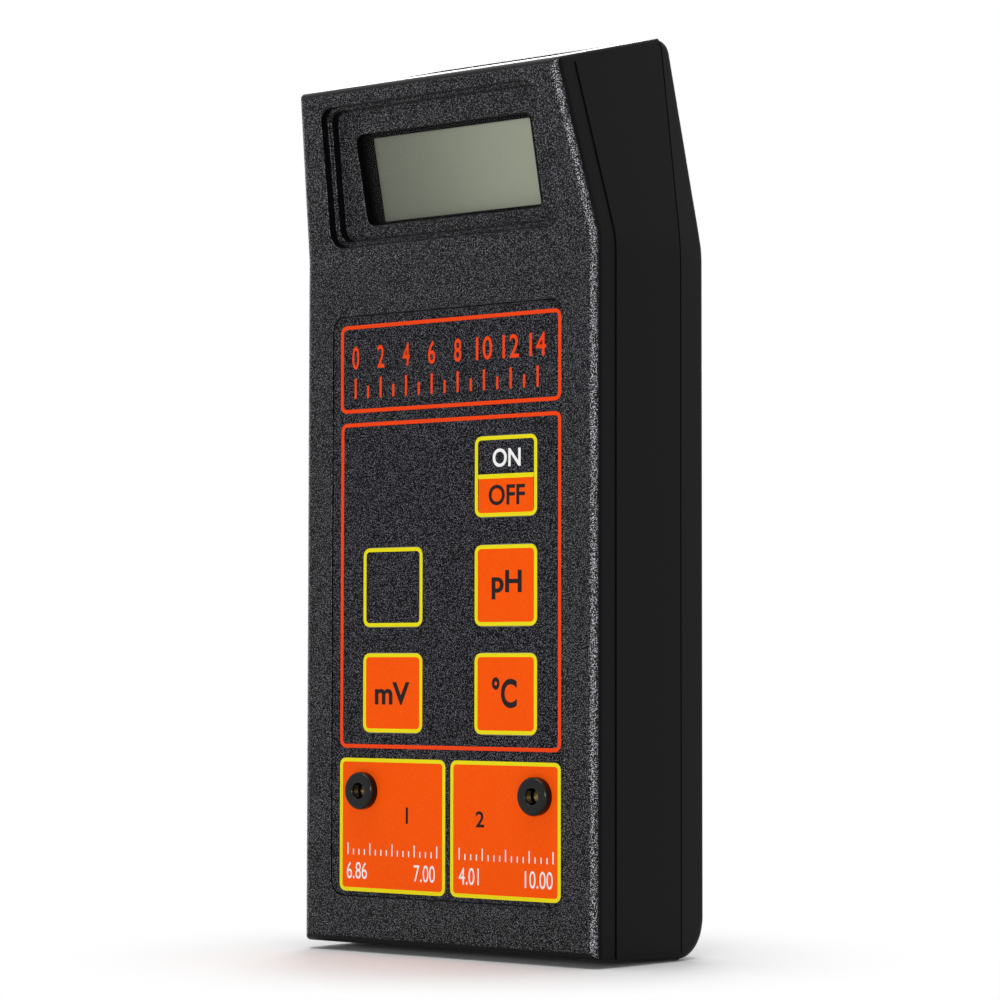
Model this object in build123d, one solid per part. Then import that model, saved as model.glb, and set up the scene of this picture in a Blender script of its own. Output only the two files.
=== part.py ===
from build123d import *
from math import cos, radians, sin, tan
import os

os.makedirs("parts", exist_ok=True)

# Housing, in millimetres. X is the width, -Y the front, +Z up along the grip.
HEIGHT = 185.0
FACE_Y = -14.1
SEAM_Y = 11.9
BACK_Y = 21.2
SEAM_HALF = 39.7
SIDE_DRAFT = 2.0
BACK_DRAFT = 3.5
WALL = 2.2
FOOT_RISE = 1.5
CORNER_R = 2.2
RAIL_R = 0.7
BACK_EDGE_R = 2.0
HEEL_R = 8.0
CROWN_R = 3.2
LEAST_R = 0.6
SIDE_STEP = 0.25
SIDE_STEP_BACK = 6.1
SEAM_GROOVE = 0.4
GROOVE_DEPTH = 0.6
LIP = 1.0
LIP_LONG = 1.6
LIP_GAP = 0.15

# The head leans forward above the kink, and its sides draw in.
KINK_Z = 142.2
KINK_R = 18.0
SIDE_KINK_R = 60.0
HEAD_LEAN = 12.5
HEAD_TAPER = 6.7
BACK_LEAN = 7.4
TOP_RISE = 14.5
HEAD_TOP_Z = HEIGHT - (SEAM_Y - FACE_Y + 7.54) * tan(radians(TOP_RISE))
HEAD_TOP_Y = FACE_Y - (HEAD_TOP_Z - KINK_Z) * tan(radians(HEAD_LEAN))

# Display, measured up the leaning face from the kink and inwards from the face.
RECESS_LOW = 2.45
RECESS_HIGH = 31.4
RECESS_LOW_HALF = 30.7
RECESS_HIGH_HALF = 28.3
RECESS_R = 3.0
STEP_DEPTH = 2.1
LEDGE = 1.0
RECESS_DEPTH = 4.2
RECESS_BACK = 5.8
OPENING_SIZE = (46.9, 18.9)
OPENING_R = 2.0
OPENING_S = 15.65
VIEW_SIZE = (42.0, 17.3)
VIEW_S = 15.35
LENS_SIZE = (51.0, 22.0)
LENS_THICK = 0.8
LCD_SIZE = (50.0, 22.6)
LCD_THICK = 1.7
LCD_DEPTH = 7.2
DISPLAY_BOARD_DEPTH = 10.6
DISPLAY_BOARD_SIZE = (57.0, 26.0)
DISPLAY_BOARD_THICK = 1.2
DISPLAY_POST_X = 31.0
DISPLAY_POST_R = 2.2
BEZEL_PEG_X = 26.1
BEZEL_PEG_S = 9.0
BEZEL_PEG_R = 0.6

# Keypad laminate in its shallow recess: circuit, spacer and printed overlay.
LABEL_HALF = 30.5
LABEL_LOW_Z = 11.3
LABEL_HIGH_Z = 130.2
LABEL_R = 3.0
LABEL_GAP = 0.15
LABEL_RECESS = 1.2
CIRCUIT_THICK = 0.2
SPACER_THICK = 0.5
OVERLAY_THICK = 0.3
KEY_SIZE = (16.0, 16.1)
KEY_R = 1.8
KEY_GAP = 0.15
KEY_TRAVEL = 0.3
LEFT_KEYS_X = -14.0
RIGHT_KEYS_X = 15.8
TOP_KEY_Z = 95.9
MIDDLE_KEY_Z = 74.2
LOW_KEY_Z = 52.7
DOME_R = 5.0
DOME_HIGH = 0.15
KEY_PLACES = {
    "key_on_off": (RIGHT_KEYS_X, TOP_KEY_Z),
    "key_ph": (RIGHT_KEYS_X, MIDDLE_KEY_Z),
    "key_celsius": (RIGHT_KEYS_X, LOW_KEY_Z),
    "key_plain": (LEFT_KEYS_X, MIDDLE_KEY_Z),
    "key_mv": (LEFT_KEYS_X, LOW_KEY_Z),
}
CIRCUIT_Y = FACE_Y + LABEL_RECESS - CIRCUIT_THICK
SPACER_Y = CIRCUIT_Y - SPACER_THICK
OVERLAY_Y = SPACER_Y - OVERLAY_THICK
COLLAR_HOLE_GAP = 0.15
TAIL_HALF = 7.0
TAIL_Z = 112.0
TAIL_THICK = 0.2
TAIL_RUN_Y = -8.4
TAIL_END_Z = 118.9
CONNECTOR_HALF = 9.5
CONNECTOR_FRONT_Y = -10.2
CONNECTOR_LOW_Z = 118.0
CONNECTOR_HIGH_Z = 122.4

# Calibration trimmers behind two black collars.
STD_X = -21.8
SLOPE_X = 23.8
TRIMMER_Z = 32.7
COLLAR_R = 3.8
COLLAR_PROUD = 1.66
COLLAR_SHANK_R = 3.2
COLLAR_BORE_R = 1.6
COLLAR_FRONT_R = 0.6
COLLAR_MOUTH_R = 0.35
COLLAR_LONG = 3.2
TRIMMER_SCREW_R = 1.2
TRIMMER_SCREW_IN = 0.7
TRIMMER_SCREW_END_Y = -7.4
SLOT_WIDE = 0.5
SLOT_DEEP = 0.8
TRIMMER_FIT = 0.05
TRIMMER_BODY = (9.5, 4.8, 9.5)

# Boards and their screws.
BOARD_FRONT_Y = -5.5
BOARD_THICK = 1.6
BOARD_HALF = 29.0
BOARD_LOW_Z = 10.0
BOARD_HIGH_Z = 139.0
STANDOFF_X = 23.5
STANDOFF_ZS = (14.0, 135.0)
STANDOFF_R = 2.5
BOARD_SCREW_R = 1.0
BOARD_HEAD_R = 2.0
BOARD_HEAD_HIGH = 1.4
BOARD_REAR_Y = BOARD_FRONT_Y + BOARD_THICK

# What stands on the back of the main board: places across and up, and heights off the board.
LEG_PITCH = 2.54
CONVERTER_LEGS = 20
CONVERTER_HALF = 26.0
CONVERTER_ZS = (97.0, 110.4)
CONVERTER_OFF = (0.6, 4.2)
AMPLIFIER_XS = (-20.0, 20.0)
AMPLIFIER_HALF = 3.2
AMPLIFIER_ZS = (118.0, 127.4)
AMPLIFIER_OFF = (0.5, 4.0)
CAPACITORS = ((-8, 120, 3.2, 7.0), (0, 122, 2.5, 6.0), (8, 120, 2.5, 6.0))
CRYSTAL_XS = (10.0, 21.0)
CRYSTAL_ZS = (83.0, 87.6)
CRYSTAL_HIGH = 3.6
SHIELD_XS = (-25.0, -9.0)
SHIELD_ZS = (80.0, 92.0)
SHIELD_HIGH = 6.0
SHIELD_WALL = 0.4
SOCKET_LEAD_Z = 127.0
BATTERY_LEAD_Z = 88.0
RIBBON_LOW_Z = 131.0
RIBBON_HALF = 11.0
RIBBON_THICK = 0.25

# Case screws, driven from the back.
CASE_SCREW_X = 32.6
CASE_SCREW_ZS = (15.0, 136.0)
BOSS_R = 3.3
POST_R = 4.2
BOSS_TOP_Y = 10.6
HEAD_SEAT_Y = 14.5
SCREW_HEAD_R = 2.8
SCREW_HEAD_HIGH = 2.0
SCREW_R = 1.45
SCREW_HOLE_R = 1.55
COUNTERBORE_R = 3.2

# Connector well in the sloped top face.
WELL_HALF = 23.0
WELL_FRONT_Y = -5.6
WELL_BACK_Y = 10.1
WELL_FLOOR_Z = 170.5
WELL_WALL = 1.8
WELL_R = 2.5
SOCKET_Y = 2.25
BNC_X = -10.5
BNC_NOSE_R = 4.83
BNC_NOSE_HIGH = 10.4
BNC_THREAD_R = 4.7
BNC_HEX = 13.0
BNC_HEX_HIGH = 2.4
BNC_TAIL_LONG = 8.6
BNC_MOUTH_R = 4.05
INSULATOR_R = 2.35
CONTACT_R = 1.05
CONTACT_BORE_R = 0.55
CONTACT_TAIL_LONG = 11.5
WASHER_R = 6.4
WASHER_THICK = 0.6
JACK_X = 13.0
JACK_BORE_R = 1.8
JACK_THREAD_R = 3.0
JACK_BODY = (11.0, 9.0, 10.5)
JACK_NECK_HIGH = 3.6
JACK_NUT_R = 4.4
JACK_NUT_HIGH = 2.2

# Battery bay, door and nine volt battery.
BAY_HALF = 14.4
BAY_FRONT_Y = 0.8
BAY_LOW_Z = 14.6
BAY_HIGH_Z = 77.0
BAY_WALL = 1.5
DOOR_HALF = 17.5
DOOR_THICK = 2.0
DOOR_HINGE_Z = 12.6
DOOR_HIGH_Z = 80.0
DOOR_GAP = 0.3
FRAME_HALF = 20.0
FRAME_LOW_Z = 9.4
HINGE_PIN_R = 0.7
HINGE_PIN_LONG = 1.2
HINGE_FIT = 0.06
FRAME_DEPTH = 3.6
GRIP_ROWS = 5
GRIP_PITCH = 2.4
GRIP_WIDE = 1.1
GRIP_HALF = 7.0
GRIP_DEEP = 0.5
NOTCH_R = 4.0
NOTCH_DEEP = 1.2
DOOR_RIB_X = 10.5
DOOR_RIB_THICK = 1.2
DOOR_RIB_PROUD = 0.8
DOOR_RIB_ZS = (24.0, 70.0)
PAD_HALF = 8.0
PAD_THICK = 0.85
PAD_ZS = (26.0, 56.0)
LEAD_SLOT_HALF = 5.0
LEAD_SLOT_YS = (5.0, 11.0)
LEAD_Y = 8.0
LEAD_X = 3.0
BATTERY = (26.3, 17.3, 48.5)
BATTERY_LOW_Z = 14.9
BATTERY_Y = 9.6
SNAP_PITCH = 12.7
STUD_R = 2.85
STUD_HIGH = 2.8
CUP_HEX_R = 3.9
CUP_R = 2.7
CUP_HIGH = 2.6
CAP_SIZE = (25.5, 12.6)
CAP_R = 5.5
CAP_HIGH = 5.2
SNAP_HIGH = 3.4
LEAD_R = 0.65


def block(x_range, y_range, z_range):
    """A plain box between two corners."""
    size = (x_range[1] - x_range[0], y_range[1] - y_range[0], z_range[1] - z_range[0])
    middle = (sum(x_range) / 2, sum(y_range) / 2, sum(z_range) / 2)
    return Pos(*middle) * Box(*size)


def front_plane(y):
    """A plane square to the depth at y, facing the front, with X right and Z up."""
    return Plane(origin=(0, y, 0), x_dir=(1, 0, 0), z_dir=(0, -1, 0))


def rod_y(x, z, radius, y_from, y_to):
    """A round bar along the depth."""
    return front_plane(y_to) * Pos(x, z, (y_to - y_from) / 2) * Cylinder(radius, y_to - y_from)


def rod_z(x, y, radius, z_from, z_to):
    """A round bar along the height."""
    return Pos(x, y, (z_from + z_to) / 2) * Cylinder(radius, z_to - z_from)


def head_plane(depth=0.0):
    """The leaning front face: local X right, local Y up the slope, normal outwards."""
    inward = (0, cos(radians(HEAD_LEAN)), sin(radians(HEAD_LEAN)))
    origin = (0, FACE_Y + inward[1] * depth, KINK_Z + inward[2] * depth)
    return Plane(origin=origin, x_dir=(1, 0, 0), z_dir=(0, -inward[1], -inward[2]))


def head_slab(outline, depth_from, depth_to):
    """A flat outline on the leaning face, carried inwards between two depths."""
    return extrude(head_plane(depth_from) * outline, amount=-(depth_to - depth_from))


def rounded(width, height, radius, middle=(0, 0)):
    """A rectangle with round corners."""
    return Pos(*middle) * RectangleRounded(width, height, radius)


def case_outline(half):
    """Front view of the case: upright sides that bend inwards at the kink."""
    reach = 60.0
    narrow = half - reach * tan(radians(HEAD_TAPER))
    right = [(half, -20), (half, KINK_Z), (narrow, KINK_Z + reach)]
    left = [(-x, z) for x, z in reversed(right)]
    outline = Polygon(*right, *left, align=None)
    kinks = [v for v in outline.vertices() if abs(v.Y - KINK_Z) < 1]
    return fillet(kinks, SIDE_KINK_R)


def drafted_sides(grow, past, reach, draft):
    """The case outline carried through the seam, narrowing away from it by the draft."""
    slope = tan(radians(draft))
    half = SEAM_HALF + grow
    near = front_plane(SEAM_Y + past) * case_outline(half + abs(past) * slope)
    far = front_plane(SEAM_Y + reach) * case_outline(half - abs(reach) * slope)
    return loft([near, far], ruled=True)


def side_view(corners, inset):
    """A side view carried across the width, its edges moved in and its kink rounded."""
    outline = Polygon(*corners, align=None)
    if inset:
        outline = offset(outline, -inset, kind=Kind.INTERSECTION)
    kinks = [v for v in outline.vertices() if abs(v.Y - KINK_Z) < 3 and abs(v.X - SEAM_Y) > 3]
    return fillet(kinks, KINK_R)


def across(outline):
    """A side view made solid, wider than the case."""
    return extrude(Plane.YZ * outline, amount=60, both=True)


def front_form(inset):
    """The front shell's side view: upright face, leaning head, sloped top and foot."""
    reach = SEAM_Y + inset
    top = HEAD_TOP_Z + (reach - HEAD_TOP_Y) * tan(radians(TOP_RISE))
    foot = FOOT_RISE * (SEAM_Y - reach) / (SEAM_Y - FACE_Y)
    front = [(FACE_Y, FOOT_RISE), (FACE_Y, KINK_Z), (HEAD_TOP_Y, HEAD_TOP_Z)]
    return across(side_view(front + [(reach, top), (reach, foot)], inset))


def back_form(inset):
    """The back shell's side view, with a large radius at the heel and a small one on top."""
    start = SEAM_Y - inset
    crown_y = BACK_Y - (HEIGHT - KINK_Z) * tan(radians(BACK_LEAN))
    back = [(crown_y, HEIGHT), (BACK_Y, KINK_Z), (BACK_Y, 0)]
    outline = side_view([(start, 0), (start, HEIGHT)] + back, inset)
    crown = outline.vertices().sort_by_distance((crown_y, HEIGHT))[0]
    outline = fillet(crown, max(CROWN_R - inset, LEAST_R))
    heel = outline.vertices().sort_by_distance((BACK_Y, 0))[0]
    return across(fillet(heel, max(HEEL_R - inset, LEAST_R)))


def front_sides(grow):
    """The front shell's two sides and everything between them."""
    return drafted_sides(grow, 5, -40, SIDE_DRAFT)


def front_outer():
    """Outer form of the front shell: round rim, and side panels a step proud behind it."""
    hull = front_sides(-SIDE_STEP) & front_form(0)
    rim = [e for e in hull.edges() if max((e @ 0).Y, (e @ 1).Y) < FACE_Y + 0.05 and not spans_kink(e)]
    hull = fillet(rim, CORNER_R)
    hull = fillet([e for e in hull.edges() if is_rail(e)], RAIL_R)
    behind_seam = block((-60, 60), (SEAM_Y, 60), (-30, 230))
    return hull + (front_sides(0) & Pos(0, SIDE_STEP_BACK, 0) * front_form(0)) - behind_seam


def spans_kink(edge):
    """True for the level edges between the kink's round and the flat faces."""
    level = abs((edge @ 0).Z - (edge @ 1).Z) < 0.01
    return level and abs(edge.center().Z - KINK_Z) < 10


def is_rail(edge):
    """True for the two edges of the top and the two of the foot, from the rim to the seam."""
    end_to_end = abs((edge @ 0).Y - (edge @ 1).Y) > 15 and abs((edge @ 0).X - (edge @ 1).X) < 2
    middle = edge.center()
    return end_to_end and abs(middle.X) > 30 and abs(middle.Z - KINK_Z) > 30


def back_outer():
    """Outer form of the back shell, which starts a groove's width behind the seam."""
    hull = back_sides(0) & back_form(0)
    hull -= block((-60, 60), (-60, SEAM_Y + SEAM_GROOVE), (-30, 230))
    hull = fillet([e for e in hull.edges() if is_back_rim(e)], BACK_EDGE_R)
    core = back_sides(-GROOVE_DEPTH) & back_form(GROOVE_DEPTH)
    return hull + (core & block((-60, 60), (SEAM_Y, SEAM_Y + 2), (-30, 230)))


def back_sides(grow):
    """The back shell's two sides and everything between them."""
    return drafted_sides(grow, -5, 20, BACK_DRAFT)


def is_back_rim(edge):
    """True for the edges between the sides and the foot, back and top of the back shell."""
    ends = (edge @ 0, edge @ 1)
    along = abs(ends[0].X - ends[1].X) < 8 and abs(edge.center().X) > 30
    crosses_side = min(p.Y for p in ends) < SEAM_Y + 1 and abs(edge.center().Z - HEIGHT / 2) < 80
    return along and not crosses_side


def recess_outline(shrink):
    """The display recess on the leaning face: it narrows with the head."""
    low = RECESS_LOW + shrink
    high = RECESS_HIGH - shrink
    low_half = RECESS_LOW_HALF - shrink
    high_half = RECESS_HIGH_HALF - shrink
    corners = [(-low_half, low), (low_half, low), (high_half, high), (-high_half, high)]
    outline = Polygon(*corners, align=None)
    return fillet(outline.vertices(), RECESS_R - shrink * 0.5)


def cut_display(shell, hull):
    """Back up the display recess with its own box, then cut its two steps and the opening."""
    backing = head_slab(recess_outline(-WALL), -1, RECESS_BACK)
    shell += backing & hull
    for x in (-DISPLAY_POST_X, DISPLAY_POST_X):
        shell += head_slab(Pos(x, VIEW_S) * Circle(DISPLAY_POST_R), STEP_DEPTH, DISPLAY_BOARD_DEPTH)
        shell -= head_slab(Pos(x, VIEW_S) * Circle(BOARD_SCREW_R), RECESS_BACK, DISPLAY_BOARD_DEPTH + 1)
    shell -= head_slab(recess_outline(0), -5, STEP_DEPTH)
    shell -= head_slab(recess_outline(LEDGE), 0, RECESS_DEPTH)
    opening = rounded(*OPENING_SIZE, OPENING_R, (0, OPENING_S))
    return shell - head_slab(opening, 0, RECESS_BACK + 1)


def cut_label_recess(shell):
    """The laminate's shallow recess, its tail slot and the two collar holes."""
    middle = (0, (LABEL_LOW_Z + LABEL_HIGH_Z) / 2)
    width = 2 * (LABEL_HALF + LABEL_GAP)
    height = LABEL_HIGH_Z - LABEL_LOW_Z + 2 * LABEL_GAP
    outline = rounded(width, height, LABEL_R + LABEL_GAP, middle)
    shell -= extrude(front_plane(FACE_Y + LABEL_RECESS) * outline, amount=10)
    shell -= block((-TAIL_HALF - 1, TAIL_HALF + 1), (FACE_Y, FACE_Y + 5), (TAIL_Z - 0.8, TAIL_Z + 0.8))
    for x in (STD_X, SLOPE_X):
        shell -= rod_y(x, TRIMMER_Z, COLLAR_SHANK_R + 0.1, FACE_Y - 1, FACE_Y + 6)
    return shell


def add_well(shell, hull):
    """The connector well: a box that hangs from the sloped top, open upwards."""
    deep = WELL_BACK_Y - WELL_FRONT_Y
    walls = rounded(2 * (WELL_HALF + WELL_WALL), deep + 2 * WELL_WALL, WELL_R + WELL_WALL)
    inside = rounded(2 * WELL_HALF, deep, WELL_R)
    middle_y = (WELL_FRONT_Y + WELL_BACK_Y) / 2
    outer = Pos(0, middle_y, WELL_FLOOR_Z - WELL_WALL) * extrude(walls, amount=30)
    shell += outer & hull
    shell -= Pos(0, middle_y, WELL_FLOOR_Z) * extrude(inside, amount=30)
    shell -= rod_z(BNC_X, SOCKET_Y, BNC_THREAD_R + 0.1, WELL_FLOOR_Z - 5, WELL_FLOOR_Z + 1)
    return shell - rod_z(JACK_X, SOCKET_Y, JACK_THREAD_R + 0.1, WELL_FLOOR_Z - 5, WELL_FLOOR_Z + 1)


def add_front_bosses(shell):
    """Four bosses for the case screws and four stand-offs for the main board."""
    inner_y = FACE_Y + WALL - 0.2
    for side in (-1, 1):
        for z in CASE_SCREW_ZS:
            x = side * CASE_SCREW_X
            rib = sorted((x, x + side * 4.4))
            shell += rod_y(x, z, BOSS_R, inner_y, BOSS_TOP_Y)
            shell += block(rib, (inner_y, 7), (z - 0.6, z + 0.6))
            shell -= rod_y(x, z, SCREW_HOLE_R, 0, BOSS_TOP_Y + 1)
        for z in STANDOFF_ZS:
            shell += rod_y(side * STANDOFF_X, z, STANDOFF_R, inner_y, BOARD_FRONT_Y)
            shell -= rod_y(side * STANDOFF_X, z, BOARD_SCREW_R, -10, BOARD_FRONT_Y + 1)
    return shell


def make_front_shell():
    """The moulded front shell, with its leaning head, display recess and connector well."""
    hull = front_outer()
    shell = hull - (front_sides(-WALL) & front_form(WALL))
    shell = cut_display(shell, hull)
    shell = add_well(shell, hull)
    shell = cut_label_recess(shell)
    return add_front_bosses(shell)


def add_back_posts(shell, hull):
    """Posts that meet the front bosses, counterbored for the case screws."""
    for side in (-1, 1):
        for z in CASE_SCREW_ZS:
            x = side * CASE_SCREW_X
            shell += rod_y(x, z, POST_R, BOSS_TOP_Y, BACK_Y + 1) & hull
            shell += rod_y(x, z, POST_R, BOSS_TOP_Y, SEAM_Y + 1)
            shell -= rod_y(x, z, SCREW_HOLE_R, BOSS_TOP_Y - 1, BACK_Y + 1)
            shell -= rod_y(x, z, COUNTERBORE_R, HEAD_SEAT_Y, BACK_Y + 1)
    return shell


def add_bay(shell, hull):
    """The battery bay, and a thicker frame round its mouth that the door sits in."""
    frame_z = (FRAME_LOW_Z, DOOR_HIGH_Z + FRAME_HALF - DOOR_HALF)
    shell += block((-FRAME_HALF, FRAME_HALF), (BACK_Y - FRAME_DEPTH, BACK_Y), frame_z) & hull
    low = BAY_LOW_Z - BAY_WALL
    high = BAY_HIGH_Z + BAY_WALL
    half = BAY_HALF + BAY_WALL
    shell += block((-half, half), (BAY_FRONT_Y - BAY_WALL, BACK_Y - 3), (low, high))
    shell -= block((-BAY_HALF, BAY_HALF), (BAY_FRONT_Y, BACK_Y + 5), (BAY_LOW_Z, BAY_HIGH_Z))
    shell -= block((-LEAD_SLOT_HALF, LEAD_SLOT_HALF), LEAD_SLOT_YS, (BAY_HIGH_Z - 1, high + 1))
    return shell - door_pocket()


def hinge_bar(radius, half):
    """A round bar on the door's hinge line."""
    return across_width(Pos(BACK_Y - DOOR_THICK / 2, DOOR_HINGE_Z) * Circle(radius), half)


def across_width(outline, half):
    """A side view carried to both sides by the same half width."""
    return extrude(Plane.YZ * outline, amount=half, both=True)


def door_pocket():
    """The pocket that the door fills, with room for it to swing down and two pin holes."""
    half = DOOR_HALF + DOOR_GAP
    plate_y = BACK_Y - DOOR_THICK - 0.05
    pocket = block((-half, half), (plate_y, BACK_Y + 5), (DOOR_HINGE_Z, DOOR_HIGH_Z + DOOR_GAP))
    pocket += hinge_bar(DOOR_THICK / 2 + DOOR_GAP, half)
    swing_low = DOOR_HINGE_Z - DOOR_THICK / 2 - DOOR_GAP
    pocket += block((-half, half), (BACK_Y - DOOR_THICK / 2, BACK_Y + 5), (swing_low, DOOR_HINGE_Z))
    return pocket + hinge_bar(HINGE_PIN_R + HINGE_FIT, DOOR_HALF + HINGE_PIN_LONG + 0.2)


def add_lip(shell):
    """The thin tongue that locates the two shells inside the seam, and its root."""
    near = WALL + LIP_GAP
    tongue = front_sides(-near) & front_form(near)
    tongue -= front_sides(-near - LIP) & front_form(near + LIP)
    tongue &= block((-60, 60), (SEAM_Y - LIP_LONG, SEAM_Y), (-30, 230))
    root = back_sides(-GROOVE_DEPTH) & back_form(GROOVE_DEPTH)
    root -= back_sides(-near - LIP) & back_form(near + LIP)
    root &= block((-60, 60), (SEAM_Y, SEAM_Y + LIP), (-30, 230))
    well_room = block((-WELL_HALF - 2.5, WELL_HALF + 2.5), (-20, SEAM_Y), (165, 200))
    return shell + root + (tongue - well_room)


def make_back_shell():
    """The moulded back shell, with its battery bay and screw posts."""
    hull = back_outer()
    shell = hull - (back_sides(-WALL) & back_form(WALL))
    shell = add_lip(shell)
    shell = add_back_posts(shell, hull)
    return add_bay(shell, hull)


def make_battery_door():
    """The battery door: it turns on two pins at its round lower edge, and has grip grooves."""
    door = block((-DOOR_HALF, DOOR_HALF), (BACK_Y - DOOR_THICK, BACK_Y), (DOOR_HINGE_Z, DOOR_HIGH_Z))
    door += hinge_bar(DOOR_THICK / 2, DOOR_HALF) + hinge_bar(HINGE_PIN_R, DOOR_HALF + HINGE_PIN_LONG)
    for row in range(GRIP_ROWS):
        z = DOOR_HIGH_Z - 2 * NOTCH_R - row * GRIP_PITCH
        door -= block((-GRIP_HALF, GRIP_HALF), (BACK_Y - GRIP_DEEP, BACK_Y + 1), (z, z + GRIP_WIDE))
    rib_y = (BACK_Y - DOOR_THICK - DOOR_RIB_PROUD, BACK_Y - 1)
    for x in (-DOOR_RIB_X, DOOR_RIB_X):
        door += block((x - DOOR_RIB_THICK / 2, x + DOOR_RIB_THICK / 2), rib_y, DOOR_RIB_ZS)
    return door - rod_y(0, DOOR_HIGH_Z + 1.5, NOTCH_R, BACK_Y - NOTCH_DEEP, BACK_Y + 1)


def make_foam_pad():
    """A soft strip on the door that keeps the battery from rattling."""
    door_inside = BACK_Y - DOOR_THICK
    return block((-PAD_HALF, PAD_HALF), (door_inside - PAD_THICK, door_inside), PAD_ZS)


def make_battery():
    """The nine volt battery's case."""
    body = Pos(0, BATTERY_Y, BATTERY_LOW_Z + BATTERY[2] / 2) * Box(*BATTERY)
    return fillet(body.edges().filter_by(Axis.Z), 2.0)


def make_battery_terminals():
    """The battery's stud and socket, as two separate solids."""
    base = BATTERY_LOW_Z + BATTERY[2]
    stud = rod_z(-SNAP_PITCH / 2, BATTERY_Y, STUD_R, base, base + STUD_HIGH)
    hexagon = extrude(RegularPolygon(CUP_HEX_R, 6), amount=CUP_HIGH)
    cup = Pos(SNAP_PITCH / 2, BATTERY_Y, base) * hexagon
    cup -= rod_z(SNAP_PITCH / 2, BATTERY_Y, CUP_R, base + 0.4, base + CUP_HIGH + 1)
    return Compound([stud, cup])


def make_snap_cap():
    """The soft cap of the battery's snap connector, hollow over both terminals."""
    base = BATTERY_LOW_Z + BATTERY[2] + 0.1
    body = Pos(0, BATTERY_Y, base) * extrude(rounded(*CAP_SIZE, CAP_R), amount=CAP_HIGH)
    for x in (-SNAP_PITCH / 2, SNAP_PITCH / 2):
        body -= rod_z(x, BATTERY_Y, STUD_R + 1.95, base - 1, base + SNAP_HIGH)
    return body


def make_snap_contacts():
    """The connector's spring ring over the stud, and its stud in the battery's socket."""
    base = BATTERY_LOW_Z + BATTERY[2] + 0.1
    ring = rod_z(-SNAP_PITCH / 2, BATTERY_Y, STUD_R + 1.05, base + 0.4, base + SNAP_HIGH)
    ring -= rod_z(-SNAP_PITCH / 2, BATTERY_Y, STUD_R + 0.1, base, base + SNAP_HIGH - 0.5)
    stud = rod_z(SNAP_PITCH / 2, BATTERY_Y, CUP_R - 0.2, base + 0.6, base + SNAP_HIGH)
    return Compound([ring, stud])


def make_battery_lead(x):
    """One battery lead, from the snap cap through the bay's roof to the main board."""
    start = (x, LEAD_Y, BATTERY_LOW_Z + BATTERY[2] + 0.1 + CAP_HIGH)
    bend = (x, LEAD_Y, BATTERY_LEAD_Z)
    route = FilletPolyline(start, bend, (x, BOARD_REAR_Y, BATTERY_LEAD_Z), radius=5)
    return sweep(Plane(route @ 0, z_dir=route % 0) * Circle(LEAD_R), path=route)


def make_input_lead(x, radius, start_z):
    """An inner lead from a socket's tail down to the main board."""
    bend = (x, SOCKET_Y, SOCKET_LEAD_Z)
    route = FilletPolyline((x, SOCKET_Y, start_z), bend, (x, BOARD_REAR_Y, SOCKET_LEAD_Z), radius=2.7)
    return sweep(Plane(route @ 0, z_dir=route % 0) * Circle(radius), path=route)


def label_sheet(front_y, thickness, key_grow):
    """One sheet of the laminate, cut out at the keys and the collars."""
    middle = (0, (LABEL_LOW_Z + LABEL_HIGH_Z) / 2)
    outline = rounded(2 * LABEL_HALF, LABEL_HIGH_Z - LABEL_LOW_Z, LABEL_R, middle)
    if key_grow is not None:
        for x, z in KEY_PLACES.values():
            window = (KEY_SIZE[0] + 2 * key_grow, KEY_SIZE[1] + 2 * key_grow)
            outline -= rounded(*window, KEY_R + key_grow, (x, z))
    for x in (STD_X, SLOPE_X):
        outline -= Pos(x, TRIMMER_Z) * Circle(COLLAR_SHANK_R + COLLAR_HOLE_GAP)
    return extrude(front_plane(front_y) * outline, amount=-thickness)


def make_keypad_overlay():
    """The printed front sheet."""
    return label_sheet(OVERLAY_Y, OVERLAY_THICK, KEY_GAP)


def make_keypad_spacer():
    """The spacer, with a window behind each key for it to move in."""
    return label_sheet(SPACER_Y, SPACER_THICK, KEY_GAP + 0.2)


def make_keypad_circuit():
    """The printed switch circuit at the back of the laminate."""
    return label_sheet(CIRCUIT_Y, CIRCUIT_THICK, None)


def make_key(place):
    """One key: a separate plate in the overlay, level with it at rest."""
    outline = rounded(*KEY_SIZE, KEY_R, place)
    return extrude(front_plane(OVERLAY_Y) * outline, amount=-OVERLAY_THICK)


def make_snap_domes():
    """The snap domes under the keys, drawn at the height that they have when pressed."""
    domes = []
    for x, z in KEY_PLACES.values():
        low = rod_y(x, z, DOME_R, CIRCUIT_Y - DOME_HIGH / 2, CIRCUIT_Y)
        domes.append(low + rod_y(x, z, DOME_R - 1.5, CIRCUIT_Y - DOME_HIGH, CIRCUIT_Y))
    return Compound(domes)


def make_keypad_tail():
    """The laminate's flat tail, through the shell's slot and up into its connector."""
    across_tail = (-TAIL_HALF, TAIL_HALF)
    low_z = TAIL_Z - TAIL_THICK / 2
    low = block(across_tail, (FACE_Y + LABEL_RECESS, TAIL_RUN_Y), (low_z, low_z + TAIL_THICK))
    return low + block(across_tail, (TAIL_RUN_Y - TAIL_THICK, TAIL_RUN_Y), (low_z, TAIL_END_Z))


def make_keypad_connector():
    """The tail's connector, on the front of the main board."""
    half = CONNECTOR_HALF
    body = block((-half, half), (CONNECTOR_FRONT_Y, BOARD_FRONT_Y), (CONNECTOR_LOW_Z, CONNECTOR_HIGH_Z))
    mouth_y = (TAIL_RUN_Y - 0.6, TAIL_RUN_Y + 0.4)
    return body - block((1.5 - half, half - 1.5), mouth_y, (CONNECTOR_LOW_Z - 1, CONNECTOR_LOW_Z + 1))


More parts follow.
